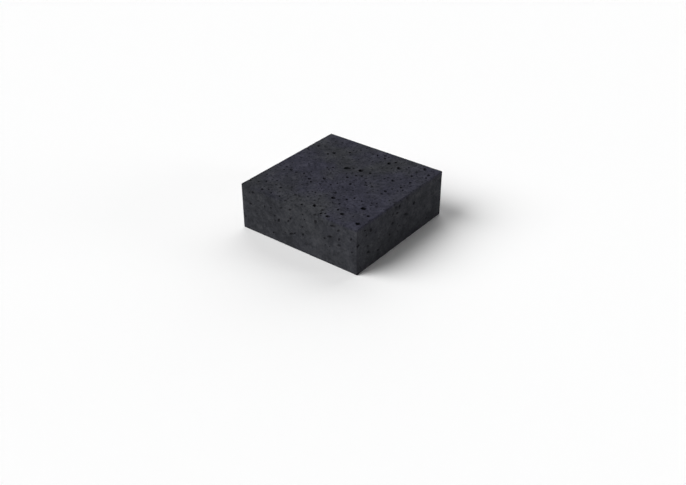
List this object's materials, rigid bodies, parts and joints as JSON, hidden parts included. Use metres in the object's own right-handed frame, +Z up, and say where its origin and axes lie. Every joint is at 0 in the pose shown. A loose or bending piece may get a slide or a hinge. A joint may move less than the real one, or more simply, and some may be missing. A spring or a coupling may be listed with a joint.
{
  "type": "paving tile",
  "caption": "Square grey concrete paving tile, cast in one piece, with flat faces, softened edges and air pits in its skin.",
  "frame": {"origin": "centre of the underside, at the height of the bed that the tile is laid on", "axes": "+Z up, out of the walking face; +X and +Y along the two equal sides of the square"},
  "size_m": [0.2, 0.2, 0.07],
  "materials": {
    "concrete": "matte"
  },
  "bodies": {
    "root": {"paving_tile": "concrete"}
  },
  "joints": []
}
